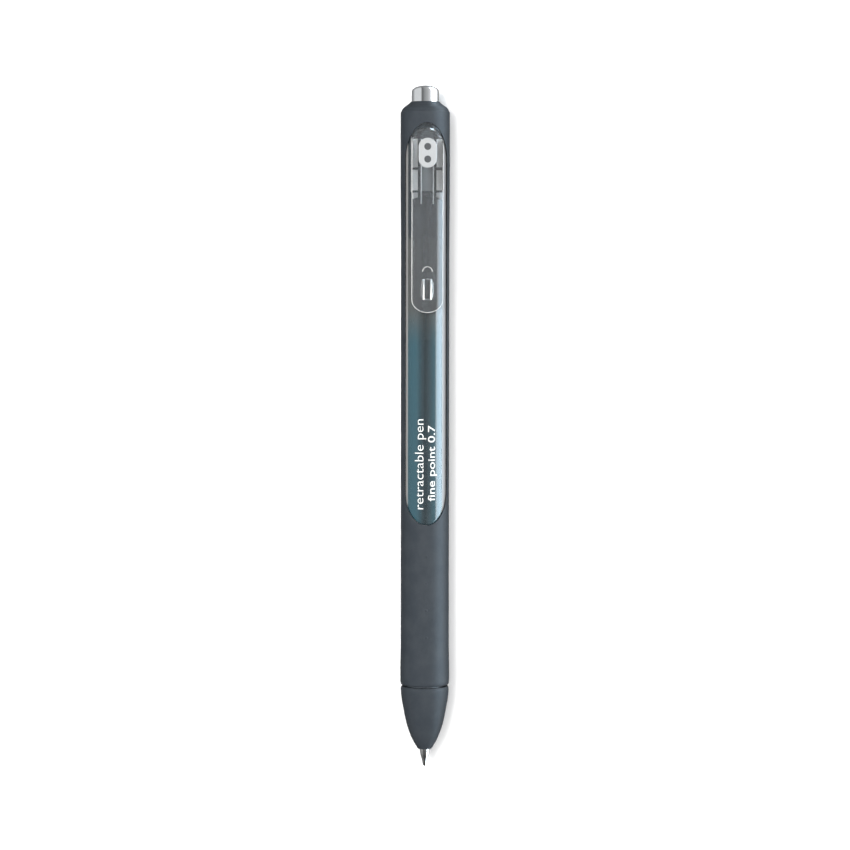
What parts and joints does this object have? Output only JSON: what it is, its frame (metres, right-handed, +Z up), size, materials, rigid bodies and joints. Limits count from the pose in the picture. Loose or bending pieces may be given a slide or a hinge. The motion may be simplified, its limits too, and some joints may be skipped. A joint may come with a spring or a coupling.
{
  "type": "gel pen",
  "caption": "Retractable gel pen with a clear barrel core in a full-length rubber grip, a clear spring clip, a chrome push button and a refill with a ball tip.",
  "frame": {"origin": "middle of the pen's outer box at the surface it lies on", "axes": "+Y along the pen from the ball tip to the push button, +Z up through the clip, +X across"},
  "size_m": [0.0102, 0.143, 0.0126],
  "materials": {
    "clear_plastic": "polished clear, slightly smoky moulding",
    "soft_rubber": "soft-touch matte with a very fine grain",
    "slate_plastic": "satin moulding",
    "badge_silver": "pale silver inlay",
    "chrome_plate": "bright chrome plating",
    "spring_steel": "drawn wire",
    "nickel_silver": "turned and polished",
    "tungsten_carbide": "ground and lapped",
    "refill_plastic": "clear extruded tube and pale mouldings",
    "gel_ink": "dark slate gel",
    "follower_grease": "clear grease"
  },
  "bodies": {
    "barrel": {"barrel_core": "clear_plastic", "grip_wrap": "soft_rubber", "clip_root": "clear_plastic", "clip_badge": "badge_silver"},
    "clip": {"clip_arm": "clear_plastic"},
    "button": {"push_button": "chrome_plate", "plunger": "slate_plastic"},
    "refill": {"refill_tube": "refill_plastic", "refill_end_plug": "refill_plastic", "ink_column": "gel_ink", "follower_grease": "follower_grease", "tip_holder": "refill_plastic", "metal_tip": "nickel_silver", "return_spring": "spring_steel"},
    "rotor": {"cam_rotor": "slate_plastic"},
    "ball": {"tip_ball": "tungsten_carbide"},
    "nose": {"nose_sleeve": "soft_rubber", "nose_insert": "slate_plastic"}
  },
  "joints": [
    {"name": "button_slide", "type": "slide", "parent": "barrel", "child": "button", "axis": [0, 1, 0], "range_m": [-0.0014, 0.005], "stiffness_N_per_m": 150},
    {"name": "refill_slide", "type": "slide", "parent": "barrel", "child": "refill", "axis": [0, 1, 0], "range_m": [-0.0014, 0.005], "deforming": ["return_spring"]},
    {"name": "rotor_turn", "type": "hinge", "parent": "refill", "child": "rotor", "pos_m": [0, 0.045, 0.00514], "axis": [0, 1, 0], "range_deg": [-6.31, 22.51]},
    {"name": "ball_roll", "type": "hinge", "parent": "refill", "child": "ball", "pos_m": [0, -0.07115, 0.00514], "axis": [1, 0, 0], "continuous": true},
    {"name": "clip_flex", "type": "hinge", "parent": "barrel", "child": "clip", "pos_m": [0, 0.0492, 0.01189], "axis": [-1, 0, 0], "range_deg": [0, 4], "stiffness_Nm_per_rad": 1},
    {"name": "nose_off", "type": "slide", "parent": "barrel", "child": "nose", "axis": [0, -1, 0], "range_m": [0, 0.03]}
  ],
  "couplings": [
    {"joint": "refill_slide", "follows": "button_slide", "ratio": 1},
    {"joint": "rotor_turn", "follows": "button_slide", "rad_per_m": 78.54}
  ]
}
